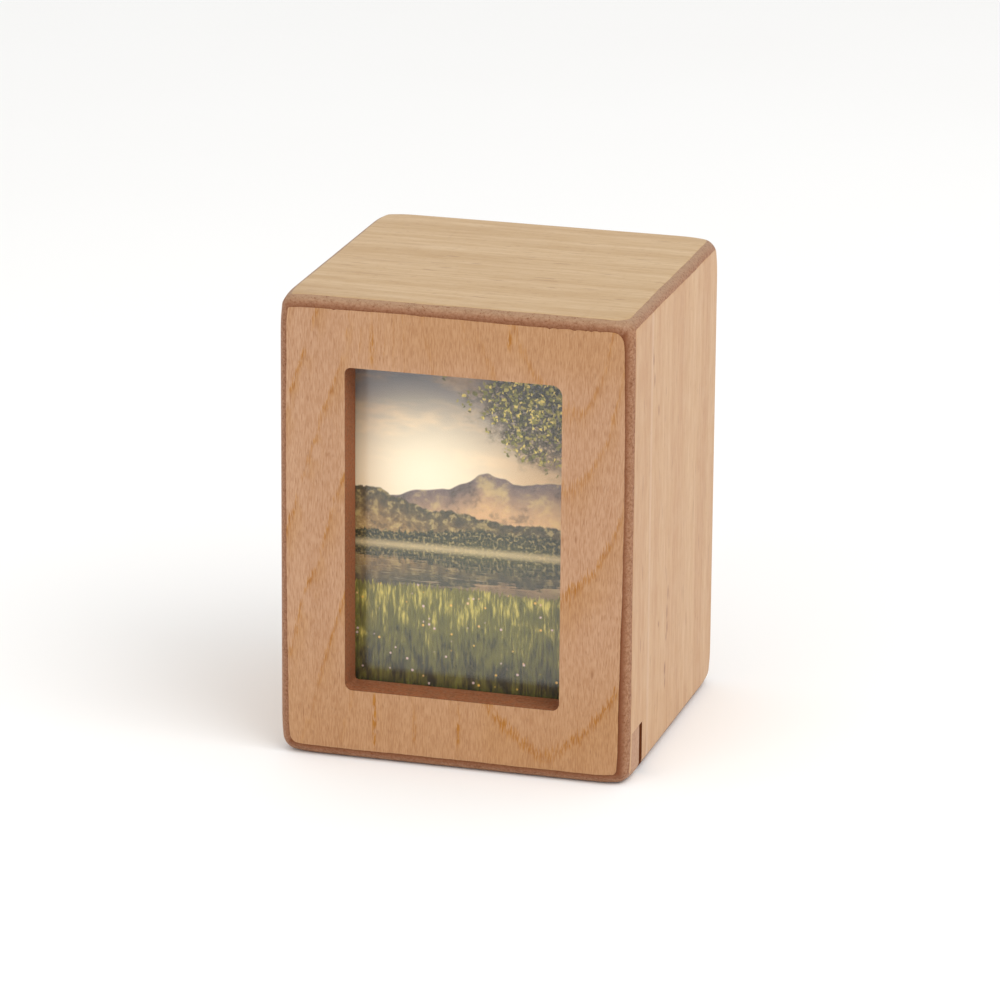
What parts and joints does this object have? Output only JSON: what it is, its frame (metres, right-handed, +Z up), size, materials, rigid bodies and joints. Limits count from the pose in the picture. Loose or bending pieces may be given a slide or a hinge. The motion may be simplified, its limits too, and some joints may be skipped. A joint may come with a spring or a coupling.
{
  "type": "cremation urn box",
  "caption": "Small upright wooden urn box with rounded edges and a picture window in its front, a hollow compartment inside and a closing board in its underside.",
  "frame": {"origin": "middle of the underside that the box stands on", "axes": "+Z up, -Y towards the picture window, +X to the right as one faces the window"},
  "size_m": [0.091, 0.087, 0.12],
  "materials": {
    "front_veneer": "satin flat-sawn veneer, brown edges",
    "side_veneer": "satin straight-grained veneer, brown edges",
    "top_veneer": "satin straight-grained veneer, brown edges",
    "bare_board": "matt brown fibreboard",
    "clear_sheet": "clear gloss",
    "picture_print": "printed picture on card"
  },
  "bodies": {
    "root": {"front_panel": "front_veneer", "back_panel": "side_veneer", "left_side_panel": "side_veneer", "right_side_panel": "side_veneer", "top_panel": "top_veneer", "bottom_panel": "bare_board", "clear_pane": "clear_sheet", "picture_board": "picture_print", "backing_board": "bare_board"}
  },
  "joints": []
}
